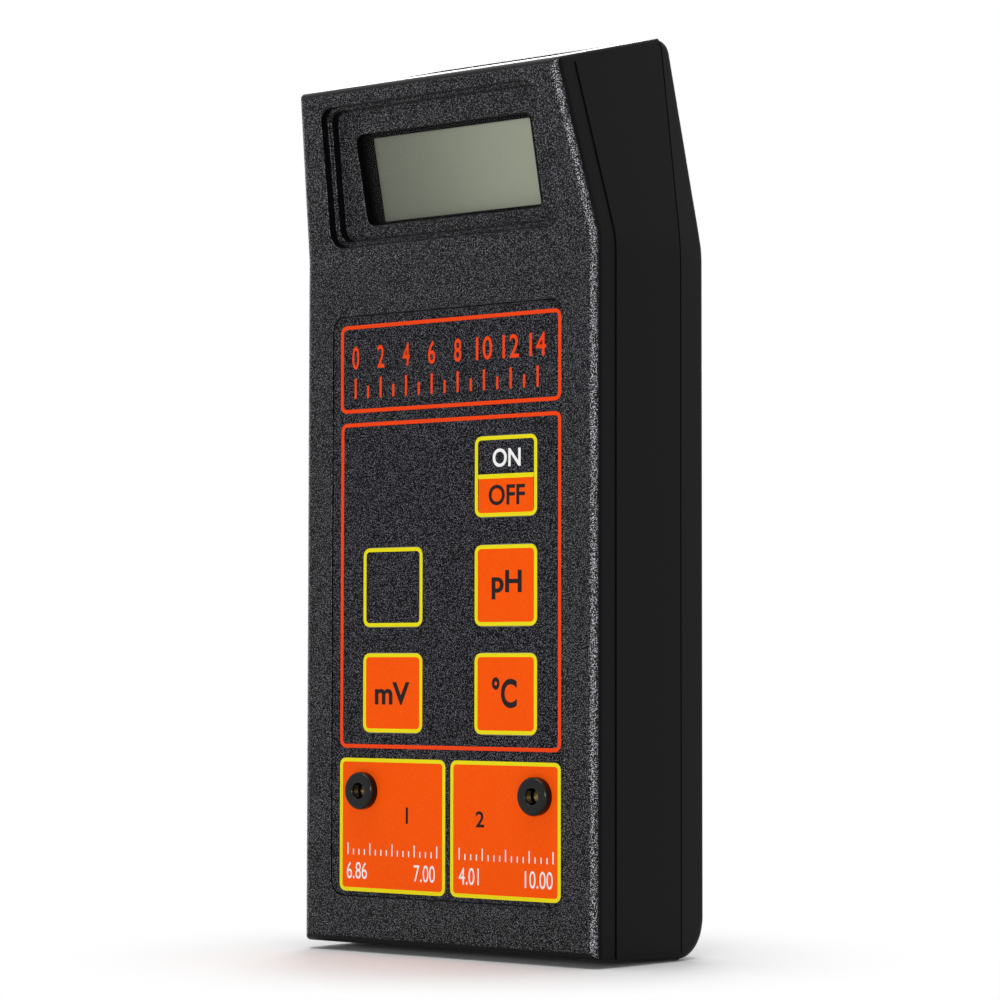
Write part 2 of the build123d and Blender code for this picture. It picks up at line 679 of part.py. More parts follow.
def make_collar(x):
    """A black collar: a domed flange on the overlay and a shank through the shell."""
    flange = rod_y(x, TRIMMER_Z, COLLAR_R, FACE_Y - COLLAR_PROUD, OVERLAY_Y)
    front = flange.edges().filter_by(GeomType.CIRCLE).sort_by(Axis.Y)[0]
    flange = fillet(front, COLLAR_FRONT_R)
    collar = flange + rod_y(x, TRIMMER_Z, COLLAR_SHANK_R, OVERLAY_Y - 0.1, FACE_Y + COLLAR_LONG)
    collar -= rod_y(x, TRIMMER_Z, COLLAR_BORE_R, FACE_Y - 5, FACE_Y + 5)
    mouth = [e for e in collar.edges().filter_by(GeomType.CIRCLE) if abs(e.radius - COLLAR_BORE_R) < 0.01]
    return fillet(ShapeList(mouth).sort_by(Axis.Y)[0], COLLAR_MOUTH_R)


def make_trimmer_body(x):
    """A calibration trimmer's square body on the front of the main board."""
    wide, deep, high = TRIMMER_BODY
    y_range = (BOARD_FRONT_Y - deep, BOARD_FRONT_Y)
    body = block((x - wide / 2, x + wide / 2), y_range, (TRIMMER_Z - high / 2, TRIMMER_Z + high / 2))
    body = fillet(body.edges().filter_by(Axis.Y), 0.5)
    return body - rod_y(x, TRIMMER_Z, TRIMMER_SCREW_R + TRIMMER_FIT, -15, TRIMMER_SCREW_END_Y + 0.1)


def make_trimmer_screw(x):
    """A trimmer's slotted brass screw, seen down the collar's bore."""
    front_y = FACE_Y + TRIMMER_SCREW_IN
    screw = rod_y(x, TRIMMER_Z, TRIMMER_SCREW_R, front_y, TRIMMER_SCREW_END_Y)
    slot_x = (x - SLOT_WIDE / 2, x + SLOT_WIDE / 2)
    return screw - block(slot_x, (front_y - 1, front_y + SLOT_DEEP), (TRIMMER_Z - 3, TRIMMER_Z + 3))


def make_display_lens():
    """The clear window behind the display opening."""
    return head_slab(rounded(*LENS_SIZE, 1.0, (0, VIEW_S)), RECESS_BACK, RECESS_BACK + LENS_THICK)


def bezel_pegs(radius, end_depth):
    """Four round pegs through the display board."""
    pegs = []
    for side_x in (-1, 1):
        for side_s in (-1, 1):
            place = Pos(side_x * BEZEL_PEG_X, VIEW_S + side_s * BEZEL_PEG_S)
            pegs.append(head_slab(place * Circle(radius), DISPLAY_BOARD_DEPTH - 0.5, end_depth))
    return pegs


def make_lcd_bezel():
    """The black holder that frames the glass, with pockets for the lens and the glass."""
    outer = rounded(LENS_SIZE[0] + 3, LENS_SIZE[1] + 2.6, 1.5, (0, VIEW_S))
    frame = head_slab(outer, RECESS_BACK, DISPLAY_BOARD_DEPTH)
    lens = rounded(LENS_SIZE[0] + 0.2, LENS_SIZE[1] + 0.2, 1.1, (0, VIEW_S))
    frame -= head_slab(lens, RECESS_BACK - 1, RECESS_BACK + LENS_THICK)
    frame -= head_slab(rounded(*VIEW_SIZE, 0.4, (0, VIEW_S)), RECESS_BACK, LCD_DEPTH + 1)
    back = rounded(LCD_SIZE[0] + 0.3, LCD_SIZE[1] + 0.3, 0.4, (0, VIEW_S))
    frame -= head_slab(back, LCD_DEPTH, DISPLAY_BOARD_DEPTH + 1)
    for peg in bezel_pegs(BEZEL_PEG_R, DISPLAY_BOARD_DEPTH + DISPLAY_BOARD_THICK + 0.5):
        frame += peg
    return frame


def make_lcd_polariser():
    """The film on the front of the glass."""
    return head_slab(rounded(47.0, 20.4, 0.3, (0, VIEW_S)), LCD_DEPTH, LCD_DEPTH + 0.15)


def make_lcd_glass():
    """The liquid crystal cell: two bonded glass plates, the back one a little shorter."""
    front = head_slab(rounded(*LCD_SIZE, 0.3, (0, VIEW_S)), LCD_DEPTH + 0.15, LCD_DEPTH + 0.9)
    back = rounded(LCD_SIZE[0], LCD_SIZE[1] - 5.2, 0.3, (0, VIEW_S))
    return front + head_slab(back, LCD_DEPTH + 0.9, LCD_DEPTH + LCD_THICK)


def make_lcd_reflector():
    """The silvered film on the back of the glass."""
    sheet = rounded(LCD_SIZE[0] - 1, LCD_SIZE[1] - 5.6, 0.3, (0, VIEW_S))
    return head_slab(sheet, LCD_DEPTH + LCD_THICK, LCD_DEPTH + LCD_THICK + 0.15)


def make_zebra_strips():
    """Two rubber contact strips between the glass and the display board."""
    offset_s = LCD_SIZE[1] / 2 - 1.3
    strips = [rounded(46, 1.9, 0.2, (0, VIEW_S + side * offset_s)) for side in (-1, 1)]
    return Compound([head_slab(strip, LCD_DEPTH + 0.9, DISPLAY_BOARD_DEPTH) for strip in strips])


def make_display_board():
    """The small board that carries the display, parallel to the leaning face."""
    outline = rounded(*DISPLAY_BOARD_SIZE, 1.0, (0, VIEW_S))
    ears = rounded(2 * (DISPLAY_POST_X + 2.0), 8.0, 2.0, (0, VIEW_S))
    rear = DISPLAY_BOARD_DEPTH + DISPLAY_BOARD_THICK
    board = head_slab(outline + ears, DISPLAY_BOARD_DEPTH, rear)
    for x in (-DISPLAY_POST_X, DISPLAY_POST_X):
        board -= head_slab(Pos(x, VIEW_S) * Circle(BOARD_SCREW_R + 0.2), DISPLAY_BOARD_DEPTH - 1, rear + 1)
    for peg in bezel_pegs(BEZEL_PEG_R + 0.1, rear + 1):
        board -= peg
    return board


def make_display_screws():
    """The two small screws that hold the display board to its posts."""
    rear = DISPLAY_BOARD_DEPTH + DISPLAY_BOARD_THICK
    screws = []
    for x in (-DISPLAY_POST_X, DISPLAY_POST_X):
        shank = head_slab(Pos(x, VIEW_S) * Circle(BOARD_SCREW_R - 0.05), rear - 5.0, rear + 0.1)
        screws.append(shank + head_slab(Pos(x, VIEW_S) * Circle(BOARD_HEAD_R), rear, rear + BOARD_HEAD_HIGH))
    return Compound(screws)


def make_display_ribbon():
    """The flat jumper between the display board and the main board."""
    rear = DISPLAY_BOARD_DEPTH + DISPLAY_BOARD_THICK + 0.01
    lean = radians(HEAD_LEAN)

    def behind(s, depth):
        return (FACE_Y - s * sin(lean) + depth * cos(lean), KINK_Z + s * cos(lean) + depth * sin(lean))

    near = BOARD_REAR_Y + 0.01
    far = near + RIBBON_THICK
    outer = [behind(9, rear + RIBBON_THICK), behind(2, rear + RIBBON_THICK)]
    outer += [(far, BOARD_HIGH_Z), (far, RIBBON_LOW_Z)]
    inner = [(near, RIBBON_LOW_Z), (near, BOARD_HIGH_Z), behind(2, rear), behind(9, rear)]
    return across_width(Polygon(*outer, *inner, align=None), RIBBON_HALF)


def make_main_board():
    """The main board, with the holes for its four screws."""
    board = block((-BOARD_HALF, BOARD_HALF), (BOARD_FRONT_Y, BOARD_REAR_Y), (BOARD_LOW_Z, BOARD_HIGH_Z))
    for side in (-1, 1):
        for z in STANDOFF_ZS:
            board -= rod_y(side * STANDOFF_X, z, BOARD_SCREW_R + 0.2, -10, 0)
    return board


def make_board_screws():
    """The four small screws that hold the main board to its stand-offs."""
    rear = BOARD_REAR_Y
    screws = []
    for side in (-1, 1):
        for z in STANDOFF_ZS:
            shank = rod_y(side * STANDOFF_X, z, BOARD_SCREW_R - 0.05, rear - 5.5, rear + 0.1)
            head = rod_y(side * STANDOFF_X, z, BOARD_HEAD_R, rear, rear + BOARD_HEAD_HIGH)
            screws.append(shank + head)
    return Compound(screws)


def make_converter_chip():
    """The forty-leg converter, with its two rows of legs."""
    rear = BOARD_REAR_Y
    body_y = (rear + CONVERTER_OFF[0], rear + CONVERTER_OFF[1])
    body = block((-CONVERTER_HALF, CONVERTER_HALF), body_y, CONVERTER_ZS)
    for leg in range(CONVERTER_LEGS):
        x = (leg - (CONVERTER_LEGS - 1) / 2) * LEG_PITCH
        for z in (CONVERTER_ZS[0] - 1.1, CONVERTER_ZS[1]):
            body += block((x - 0.4, x + 0.4), (rear, rear + 2.4), (z, z + 1.1))
    return body


def make_amplifier_chips():
    """Two small eight-leg amplifiers."""
    rear = BOARD_REAR_Y
    chips = []
    body_y = (rear + AMPLIFIER_OFF[0], rear + AMPLIFIER_OFF[1])
    for x in AMPLIFIER_XS:
        body = block((x - AMPLIFIER_HALF, x + AMPLIFIER_HALF), body_y, AMPLIFIER_ZS)
        for leg in range(4):
            z = AMPLIFIER_ZS[0] + 0.8 + leg * 2.2
            reach = AMPLIFIER_HALF + 1.1
            body += block((x - reach, x + reach), (rear, rear + 2.0), (z, z + 0.9))
        chips.append(body)
    return Compound(chips)


def make_capacitors():
    """Three electrolytic capacitors standing on the back of the main board."""
    rear = BOARD_REAR_Y
    cans = []
    for x, z, radius, high in CAPACITORS:
        can = rod_y(x, z, radius, rear, rear + high)
        cans.append(fillet(can.edges().sort_by(Axis.Y)[-1], 0.5))
    return Compound(cans)


def make_crystal():
    """The quartz crystal's can."""
    rear = BOARD_REAR_Y
    can = block(CRYSTAL_XS, (rear, rear + CRYSTAL_HIGH), CRYSTAL_ZS)
    return fillet(can.edges().filter_by(Axis.Y), 2.0)


def make_input_shield():
    """The metal can over the high resistance pH input."""
    rear = BOARD_REAR_Y
    can = block(SHIELD_XS, (rear, rear + SHIELD_HIGH), SHIELD_ZS)
    room_x = (SHIELD_XS[0] + SHIELD_WALL, SHIELD_XS[1] - SHIELD_WALL)
    room_z = (SHIELD_ZS[0] + SHIELD_WALL, SHIELD_ZS[1] - SHIELD_WALL)
    return can - block(room_x, (rear - 1, rear + SHIELD_HIGH - SHIELD_WALL), room_z)


def bnc_hexagon():
    """The hexagon of the electrode socket and of its nut."""
    return extrude(RegularPolygon(BNC_HEX / 2, 6, major_radius=False), amount=BNC_HEX_HIGH)


def make_bnc_body():
    """The electrode socket's metal body: hexagon, threaded tail and hollow nose."""
    floor = WELL_FLOOR_Z
    body = Pos(BNC_X, SOCKET_Y, floor) * bnc_hexagon()
    body += rod_z(BNC_X, SOCKET_Y, BNC_NOSE_R, floor, floor + BNC_NOSE_HIGH)
    body += rod_z(BNC_X, SOCKET_Y, BNC_THREAD_R, floor - BNC_TAIL_LONG, floor)
    body -= rod_z(BNC_X, SOCKET_Y, BNC_MOUTH_R, floor + 2.0, floor + BNC_NOSE_HIGH + 1)
    return body - rod_z(BNC_X, SOCKET_Y, INSULATOR_R + 0.05, floor - BNC_TAIL_LONG - 1, floor + 3)


def make_bnc_insulator():
    """The white insulator inside the electrode socket."""
    floor = WELL_FLOOR_Z
    sleeve = rod_z(BNC_X, SOCKET_Y, INSULATOR_R, floor - BNC_TAIL_LONG, floor + 8.0)
    return sleeve - rod_z(BNC_X, SOCKET_Y, CONTACT_R + 0.05, floor - BNC_TAIL_LONG - 1, floor + 9)


def make_bnc_contact():
    """The socket's centre contact, split and bored at the top, with its solder tail."""
    floor = WELL_FLOOR_Z
    contact = rod_z(BNC_X, SOCKET_Y, CONTACT_R, floor - CONTACT_TAIL_LONG, floor + 7.6)
    return contact - rod_z(BNC_X, SOCKET_Y, CONTACT_BORE_R, floor + 2.5, floor + 9)


def make_bnc_washer():
    """The solder tag washer under the panel."""
    under = WELL_FLOOR_Z - WELL_WALL
    washer = rod_z(BNC_X, SOCKET_Y, WASHER_R, under - WASHER_THICK, under)
    tag_x = (BNC_X + WASHER_R - 1.4, BNC_X + WASHER_R + 4.1)
    washer += block(tag_x, (SOCKET_Y - 1.5, SOCKET_Y + 1.5), (under - WASHER_THICK, under))
    return washer - rod_z(BNC_X, SOCKET_Y, BNC_THREAD_R + 0.05, under - 2, under + 1)


def make_bnc_nut():
    """The hexagon nut that clamps the electrode socket to the well's floor."""
    low_z = WELL_FLOOR_Z - WELL_WALL - WASHER_THICK - BNC_HEX_HIGH
    nut = Pos(BNC_X, SOCKET_Y, low_z) * bnc_hexagon()
    return nut - rod_z(BNC_X, SOCKET_Y, BNC_THREAD_R + 0.05, low_z - 1, low_z + BNC_HEX_HIGH + 1)


def make_jack_body():
    """The temperature probe's jack: a moulded block with a threaded neck and its bore."""
    under = WELL_FLOOR_Z - WELL_WALL
    wide, deep, high = JACK_BODY
    body = Pos(JACK_X, SOCKET_Y, under - high / 2) * Box(wide, deep, high)
    body += rod_z(JACK_X, SOCKET_Y, JACK_THREAD_R, under - 1, WELL_FLOOR_Z + JACK_NECK_HIGH)
    return body - rod_z(JACK_X, SOCKET_Y, JACK_BORE_R, under - high + 1.0, WELL_FLOOR_Z + 5)


def make_jack_nut():
    """The round nut on the jack's neck, with two driving slots."""
    nut = rod_z(JACK_X, SOCKET_Y, JACK_NUT_R, WELL_FLOOR_Z, WELL_FLOOR_Z + JACK_NUT_HIGH)
    nut -= rod_z(JACK_X, SOCKET_Y, JACK_THREAD_R + 0.05, WELL_FLOOR_Z - 1, WELL_FLOOR_Z + 3)
    slot_z = (WELL_FLOOR_Z + 1.2, WELL_FLOOR_Z + 3)
    return nut - block((JACK_X - 6, JACK_X + 6), (SOCKET_Y - 0.5, SOCKET_Y + 0.5), slot_z)


def make_case_screws():
    """The four case screws, pan headed with a cross slot."""
    screws = []
    for side in (-1, 1):
        for z in CASE_SCREW_ZS:
            x = side * CASE_SCREW_X
            head = rod_y(x, z, SCREW_HEAD_R, HEAD_SEAT_Y, HEAD_SEAT_Y + SCREW_HEAD_HIGH)
            head = fillet(head.edges().filter_by(GeomType.CIRCLE).sort_by(Axis.Y)[-1], 0.8)
            top = (HEAD_SEAT_Y + 1.0, HEAD_SEAT_Y + 3)
            head -= block((x - 1.6, x + 1.6), top, (z - 0.3, z + 0.3))
            head -= block((x - 0.3, x + 0.3), top, (z - 1.6, z + 1.6))
            screws.append(head + rod_y(x, z, SCREW_R, 2.0, HEAD_SEAT_Y + 0.5))
    return Compound(screws)


def make_parts():
    """Every piece of the meter, by the name of its node."""
    parts = {
        "front_shell": make_front_shell(),
        "back_shell": make_back_shell(),
        "battery_door": make_battery_door(),
        "battery_door_foam": make_foam_pad(),
        "battery": make_battery(),
        "battery_terminals": make_battery_terminals(),
        "snap_cap": make_snap_cap(),
        "snap_contacts": make_snap_contacts(),
        "battery_lead_plus": make_battery_lead(-LEAD_X),
        "battery_lead_minus": make_battery_lead(LEAD_X),
        "keypad_overlay": make_keypad_overlay(),
        "keypad_spacer": make_keypad_spacer(),
        "keypad_circuit": make_keypad_circuit(),
        "keypad_domes": make_snap_domes(),
        "keypad_tail": make_keypad_tail(),
        "keypad_connector": make_keypad_connector(),
        "std_collar": make_collar(STD_X),
        "slope_collar": make_collar(SLOPE_X),
        "std_trimmer": make_trimmer_body(STD_X),
        "slope_trimmer": make_trimmer_body(SLOPE_X),
        "std_screw": make_trimmer_screw(STD_X),
        "slope_screw": make_trimmer_screw(SLOPE_X),
        "display_lens": make_display_lens(),
        "lcd_bezel": make_lcd_bezel(),
        "lcd_polariser": make_lcd_polariser(),
        "lcd_glass": make_lcd_glass(),
        "lcd_reflector": make_lcd_reflector(),
        "zebra_strips": make_zebra_strips(),
        "display_board": make_display_board(),
        "display_screws": make_display_screws(),
        "display_ribbon": make_display_ribbon(),
        "main_board": make_main_board(),
        "board_screws": make_board_screws(),
        "converter_chip": make_converter_chip(),
        "amplifier_chips": make_amplifier_chips(),
        "capacitors": make_capacitors(),
        "crystal": make_crystal(),
        "input_shield": make_input_shield(),
        "bnc_body": make_bnc_body(),
        "bnc_insulator": make_bnc_insulator(),
        "bnc_contact": make_bnc_contact(),
        "bnc_washer": make_bnc_washer(),
        "bnc_nut": make_bnc_nut(),
        "probe_jack": make_jack_body(),
        "probe_jack_nut": make_jack_nut(),
        "electrode_lead": make_input_lead(BNC_X, 1.3, WELL_FLOOR_Z - CONTACT_TAIL_LONG),
        "probe_lead": make_input_lead(JACK_X, 0.9, WELL_FLOOR_Z - WELL_WALL - JACK_BODY[2]),
        "case_screws": make_case_screws(),
    }
    for name, place in KEY_PLACES.items():
        parts[name] = make_key(place)
    return parts


for node, shape in make_parts().items():
    export_step(shape, f"parts/{node}.step")
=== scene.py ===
import math

import bpy
import numpy as np
from mathutils import Matrix, Vector


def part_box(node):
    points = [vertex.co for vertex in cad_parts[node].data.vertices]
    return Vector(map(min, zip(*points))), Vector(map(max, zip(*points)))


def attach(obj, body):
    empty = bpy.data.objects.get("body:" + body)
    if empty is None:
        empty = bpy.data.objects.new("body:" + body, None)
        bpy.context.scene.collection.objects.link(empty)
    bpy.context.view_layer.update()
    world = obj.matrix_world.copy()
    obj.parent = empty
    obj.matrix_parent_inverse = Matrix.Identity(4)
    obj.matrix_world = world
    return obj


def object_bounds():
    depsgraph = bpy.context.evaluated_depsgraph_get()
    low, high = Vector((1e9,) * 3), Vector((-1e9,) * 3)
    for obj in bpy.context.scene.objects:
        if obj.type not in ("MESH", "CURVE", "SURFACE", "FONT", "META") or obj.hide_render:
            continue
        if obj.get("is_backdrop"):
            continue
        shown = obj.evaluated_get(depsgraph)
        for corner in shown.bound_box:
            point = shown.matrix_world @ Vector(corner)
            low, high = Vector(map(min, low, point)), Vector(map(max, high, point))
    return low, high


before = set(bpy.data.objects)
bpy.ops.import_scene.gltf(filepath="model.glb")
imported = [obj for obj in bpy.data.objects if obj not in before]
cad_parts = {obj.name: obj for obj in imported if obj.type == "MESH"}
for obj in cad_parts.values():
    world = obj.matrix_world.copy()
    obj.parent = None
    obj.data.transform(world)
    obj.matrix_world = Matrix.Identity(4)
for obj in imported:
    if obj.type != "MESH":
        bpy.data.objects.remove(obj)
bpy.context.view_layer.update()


# Case. Two shells moulded in black ABS meet at a narrow groove, and four zinc plated screws from
# behind hold them together. The front shell is spark eroded on its face and head, with a painted
# highlight along its ridges, and smooth on its sides. The back shell is grained behind.

def smooth_cad(node, sharp_degrees=32.0, weld_gap=2e-6, area_weight=60):
    """Shades a CAD node's loose triangles as one skin: weld, split at sharp edges, weight by area."""
    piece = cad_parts[node]
    piece.data.polygons.foreach_set("use_smooth", [True] * len(piece.data.polygons))
    weld = piece.modifiers.new("weld", "WELD")
    weld.merge_threshold = weld_gap
    split = piece.modifiers.new("split", "EDGE_SPLIT")
    split.split_angle = math.radians(sharp_degrees)
    weigh = piece.modifiers.new("weigh", "WEIGHTED_NORMAL")
    weigh.weight = area_weight
    weigh.keep_sharp = True
    return piece


def dress(nodes, material):
    """Gives one finish to several CAD nodes."""
    for node in nodes:
        piece = smooth_cad(node)
        piece.data.materials.clear()
        piece.data.materials.append(material)


def feed(tree, value, socket):
    """Feeds a socket: by a link from another socket, or with a plain number."""
    if isinstance(value, bpy.types.NodeSocket):
        tree.links.new(value, socket)
    else:
        socket.default_value = value


def worked(tree, operation, *given):
    """The result of one math operation on sockets or plain numbers."""
    node = tree.nodes.new("ShaderNodeMath")
    node.operation = operation
    for value, socket in zip(given, node.inputs):
        feed(tree, value, socket)
    return node.outputs[0]


def mapped(tree, value, start, end, to_start=0.0, to_end=1.0, eased=False):
    """A value between start and end taken in proportion to between to_start and to_end, and held there."""
    node = tree.nodes.new("ShaderNodeMapRange")
    if eased:
        node.interpolation_type = "SMOOTHSTEP"
    for label, number in (("From Min", start), ("From Max", end), ("To Min", to_start), ("To Max", to_end)):
        node.inputs[label].default_value = number
    feed(tree, value, node.inputs["Value"])
    return node.outputs[0]


def grain_group(cell_share=-0.55, peak_from=0.28, peak_to=0.45):
    """Spark grain. The height is noise plus cell_share times a smooth cell distance, and the speckle is
    how far that height lies between peak_from and peak_to, times the given strength: the mask of painted
    glints on the grain's peaks."""
    group = bpy.data.node_groups.new("spark_grain", "ShaderNodeTree")
    for label, value in (("Pitch mm", 0.45), ("Speckle", 0.5)):
        socket = group.interface.new_socket(label, in_out="INPUT", socket_type="NodeSocketFloat")
        socket.default_value = value
    for label in ("Height", "Peak"):
        group.interface.new_socket(label, in_out="OUTPUT", socket_type="NodeSocketFloat")
    given, out = group.nodes.new("NodeGroupInput"), group.nodes.new("NodeGroupOutput")
    place = group.nodes.new("ShaderNodeTexCoord")
    per_metre = worked(group, "DIVIDE", 1000.0, given.outputs["Pitch mm"])
    coarse, fine = group.nodes.new("ShaderNodeTexNoise"), group.nodes.new("ShaderNodeTexVoronoi")
    coarse.inputs["Detail"].default_value = 2.0
    coarse.inputs["Roughness"].default_value = 0.55
    fine.feature = "SMOOTH_F1"
    fine.inputs["Smoothness"].default_value = 0.4
    for texture in (coarse, fine):
        feed(group, place.outputs["Object"], texture.inputs["Vector"])
        feed(group, per_metre, texture.inputs["Scale"])
    height = worked(group, "MULTIPLY_ADD", fine.outputs["Distance"], cell_share, coarse.outputs["Fac"])
    peak = mapped(group, height, peak_from, peak_to, eased=True)
    feed(group, height, out.inputs["Height"])
    feed(group, worked(group, "MULTIPLY", peak, given.outputs["Speckle"]), out.inputs["Peak"])
    return group


def marks_group():
    """Handling marks: one cloud of distorted noise at the given size, as a value about a half."""
    group = bpy.data.node_groups.new("handling_marks", "ShaderNodeTree")
    socket = group.interface.new_socket("Size mm", in_out="INPUT", socket_type="NodeSocketFloat")
    socket.default_value = 12.0
    group.interface.new_socket("Mark", in_out="OUTPUT", socket_type="NodeSocketFloat")
    given, out = group.nodes.new("NodeGroupInput"), group.nodes.new("NodeGroupOutput")
    place = group.nodes.new("ShaderNodeTexCoord")
    cloud = group.nodes.new("ShaderNodeTexNoise")
    cloud.inputs["Detail"].default_value = 6.0
    cloud.inputs["Roughness"].default_value = 0.68
    cloud.inputs["Distortion"].default_value = 0.4
    feed(group, place.outputs["Object"], cloud.inputs["Vector"])
    feed(group, worked(group, "DIVIDE", 1000.0, given.outputs["Size mm"]), cloud.inputs["Scale"])
    feed(group, cloud.outputs["Fac"], out.inputs["Mark"])
    return group


spark_grain = grain_group()
handling_marks = marks_group()


def finish(name, color, roughness, marks=0.06, metallic=0.0, size_mm=12.0, gloss=0.5):
    """A finish with handling marks: roughness less to plus marks, and colour times one less to plus marks."""
    material = bpy.data.materials.new(name)
    material.use_nodes = True
    tree = material.node_tree
    shader = tree.nodes["Principled BSDF"]
    shader.inputs["Metallic"].default_value = metallic
    shader.inputs["Specular IOR Level"].default_value = gloss
    mark = tree.nodes.new("ShaderNodeGroup")
    mark.node_tree = handling_marks
    mark.inputs["Size mm"].default_value = size_mm
    cloud_low, cloud_high = 0.3, 0.7
    varied = mapped(tree, mark.outputs["Mark"], cloud_low, cloud_high, roughness - marks, roughness + marks)
    feed(tree, varied, shader.inputs["Roughness"])
    tint = tree.nodes.new("ShaderNodeMix")
    tint.name = "tint"
    tint.data_type = "RGBA"
    tint.inputs["A"].default_value = (*[c * (1 - marks) for c in color], 1)
    tint.inputs["B"].default_value = (*[min(c * (1 + marks), 1) for c in color], 1)
    feed(tree, mark.outputs["Mark"], tint.inputs["Factor"])
    feed(tree, tint.outputs["Result"], shader.inputs["Base Color"])
    return material


def add_grain(material, pitch_mm, depth_mm, glint_color=None, edge_mm=None):
    """Adds spark grain to a finish: relief, paler peaks that are painted glints, and sharp edges that catch
    light as if rounded.
    """
    tree = material.node_tree
    shader = tree.nodes["Principled BSDF"]
    grain = tree.nodes.new("ShaderNodeGroup")
    grain.name = "grain"
    grain.node_tree = spark_grain
    grain.inputs["Pitch mm"].default_value = pitch_mm
    relief = tree.nodes.new("ShaderNodeBump")
    relief.inputs["Strength"].default_value = 1.0
    relief.inputs["Distance"].default_value = depth_mm / 1000
    feed(tree, grain.outputs["Height"], relief.inputs["Height"])
    feed(tree, relief.outputs["Normal"], shader.inputs["Normal"])
    if edge_mm is not None:
        rounding = tree.nodes.new("ShaderNodeBevel")
        rounding.name = "rounding"
        rounding.inputs["Radius"].default_value = edge_mm / 1000
        feed(tree, rounding.outputs["Normal"], relief.inputs["Normal"])
    if glint_color is not None:
        glint_mix = tree.nodes.new("ShaderNodeMix")
        glint_mix.data_type = "RGBA"
        glint_mix.inputs["B"].default_value = (*glint_color, 1)
        feed(tree, tree.nodes["tint"].outputs["Result"], glint_mix.inputs["A"])
        feed(tree, grain.outputs["Peak"], glint_mix.inputs["Factor"])
        feed(tree, glint_mix.outputs["Result"], shader.inputs["Base Color"])


def rub_rim(material, stops, strongest):
    """Painted highlight and glints on the grain's speckle: a ramp of the rounded normal's share sideways,
    with stops of (share, strength), times a rise to strongest as the normal turns to the front, and a fall to
    nothing as it turns up or down."""
    tree = material.node_tree
    split = tree.nodes.new("ShaderNodeSeparateXYZ")
    feed(tree, tree.nodes["rounding"].outputs["Normal"], split.inputs[0])
    ramp = tree.nodes.new("ShaderNodeValToRGB")
    ramp.color_ramp.interpolation = "EASE"
    while len(ramp.color_ramp.elements) < len(stops):
        ramp.color_ramp.elements.new(1.0)
    for element, (share, strength) in zip(ramp.color_ramp.elements, stops):
        element.position = share
        element.color = (strength, strength, strength, 1)
    feed(tree, worked(tree, "ABSOLUTE", split.outputs["X"]), ramp.inputs["Fac"])
    rise_from, rise_to = -0.2, -0.5
    ahead = mapped(tree, split.outputs["Y"], rise_from, rise_to, 0.0, strongest)
    fall_from, fall_to = 0.27, 0.42
    level = mapped(tree, worked(tree, "ABSOLUTE", split.outputs["Z"]), fall_from, fall_to, 1.0, 0.0)
    painted_highlight = worked(tree, "MULTIPLY", worked(tree, "MULTIPLY", ramp.outputs["Color"], ahead), level)
    feed(tree, painted_highlight, tree.nodes["grain"].inputs["Speckle"])


def polygon_rows(mesh, what):
    """One row for each polygon of a mesh: its normal or its centre."""
    rows = np.empty(len(mesh.polygons) * 3)
    mesh.polygons.foreach_get(what, rows)
    return rows.reshape(-1, 3)


def dress_part(node, material, chosen):
    """Gives a second finish to the chosen polygons of a CAD node that already has one."""
    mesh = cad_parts[node].data
    mesh.materials.append(material)
    mesh.polygons.foreach_set("material_index", chosen.astype(np.int32))


shell_grained = finish("shell_grained", (0.0022, 0.0022, 0.0027), 0.34, 0.02, gloss=0.12)
# The grain's paler peaks are painted glints.
add_grain(shell_grained, 0.22, 0.020, (0.50, 0.50, 0.54), edge_mm=0.38)
# The ramp's strong middle is a painted highlight where the key lamp's reflection falls on the rounded rim and
# the recess's edges; its low ends are painted glints of the grain.
rim_highlight_stops = [(0.0, 0.072), (0.28, 0.09), (0.48, 1.0), (0.62, 0.8), (0.76, 0.22), (0.90, 0.0)]
rub_rim(shell_grained, rim_highlight_stops, strongest=6.0)
shell_smooth = finish("shell_smooth", (0.0024, 0.0024, 0.0028), 0.30, 0.02, gloss=0.065)
dress(["front_shell"], shell_grained)

# Smooth are the faces that turn away from the front, all that lies behind the rim, and the steps
# beside the head's top panel, but not the side walls of the display's recess.
front_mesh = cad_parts["front_shell"].data
facing, places = polygon_rows(front_mesh, "normal"), polygon_rows(front_mesh, "center")
grained_to, grained_behind = -0.40, -0.0087
recess_low, recess_half, wall_facing = 0.144, 0.031, 0.3
in_recess = ((places[:, 2] > recess_low) & (np.abs(places[:, 0]) < recess_half)
             & (np.abs(facing[:, 0]) > wall_facing) & (facing[:, 1] < wall_facing))
kink_z, head_draw, panel_half = 0.1422, math.tan(math.radians(6.7)), 0.0375
panel_edge = panel_half - np.maximum(places[:, 2] - kink_z, 0) * head_draw
on_panel_step = (np.abs(facing[:, 0]) < wall_facing) & (np.abs(places[:, 0]) > panel_edge)
turned_away = (facing[:, 1] > grained_to) & ~in_recess
dress_part("front_shell", shell_smooth, turned_away | (places[:, 1] > grained_behind) | on_panel_step)

back_black = finish("back_black", (0.0045, 0.0045, 0.0050), 0.36, 0.03, gloss=0.045)
add_grain(back_black, 0.5, 0.01)
back_grained = finish("back_grained", (0.0045, 0.0045, 0.0050), 0.36, 0.03, gloss=0.10)
# The grain's paler peaks are painted glints.
add_grain(back_grained, 0.26, 0.020, (0.16, 0.16, 0.175))
backward = 0.5
for node in ("back_shell", "battery_door"):
    dress([node], back_black)
    dress_part(node, back_grained, polygon_rows(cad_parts[node].data, "normal")[:, 1] > backward)

zinc_plate = finish("zinc_plate", (0.60, 0.60, 0.57), 0.34, 0.08, metallic=1.0, size_mm=3.0)
dress(["case_screws", "board_screws", "display_screws", "keypad_domes"], zinc_plate)


# Keypad laminate. One printed polyester sheet lies in a shallow recess of the face, over a clear
# spacer and a switch circuit. Its vermilion frames are screen printed.

ink_thick, outline_thick, ink_sunk = 0.02, 0.025, 0.005


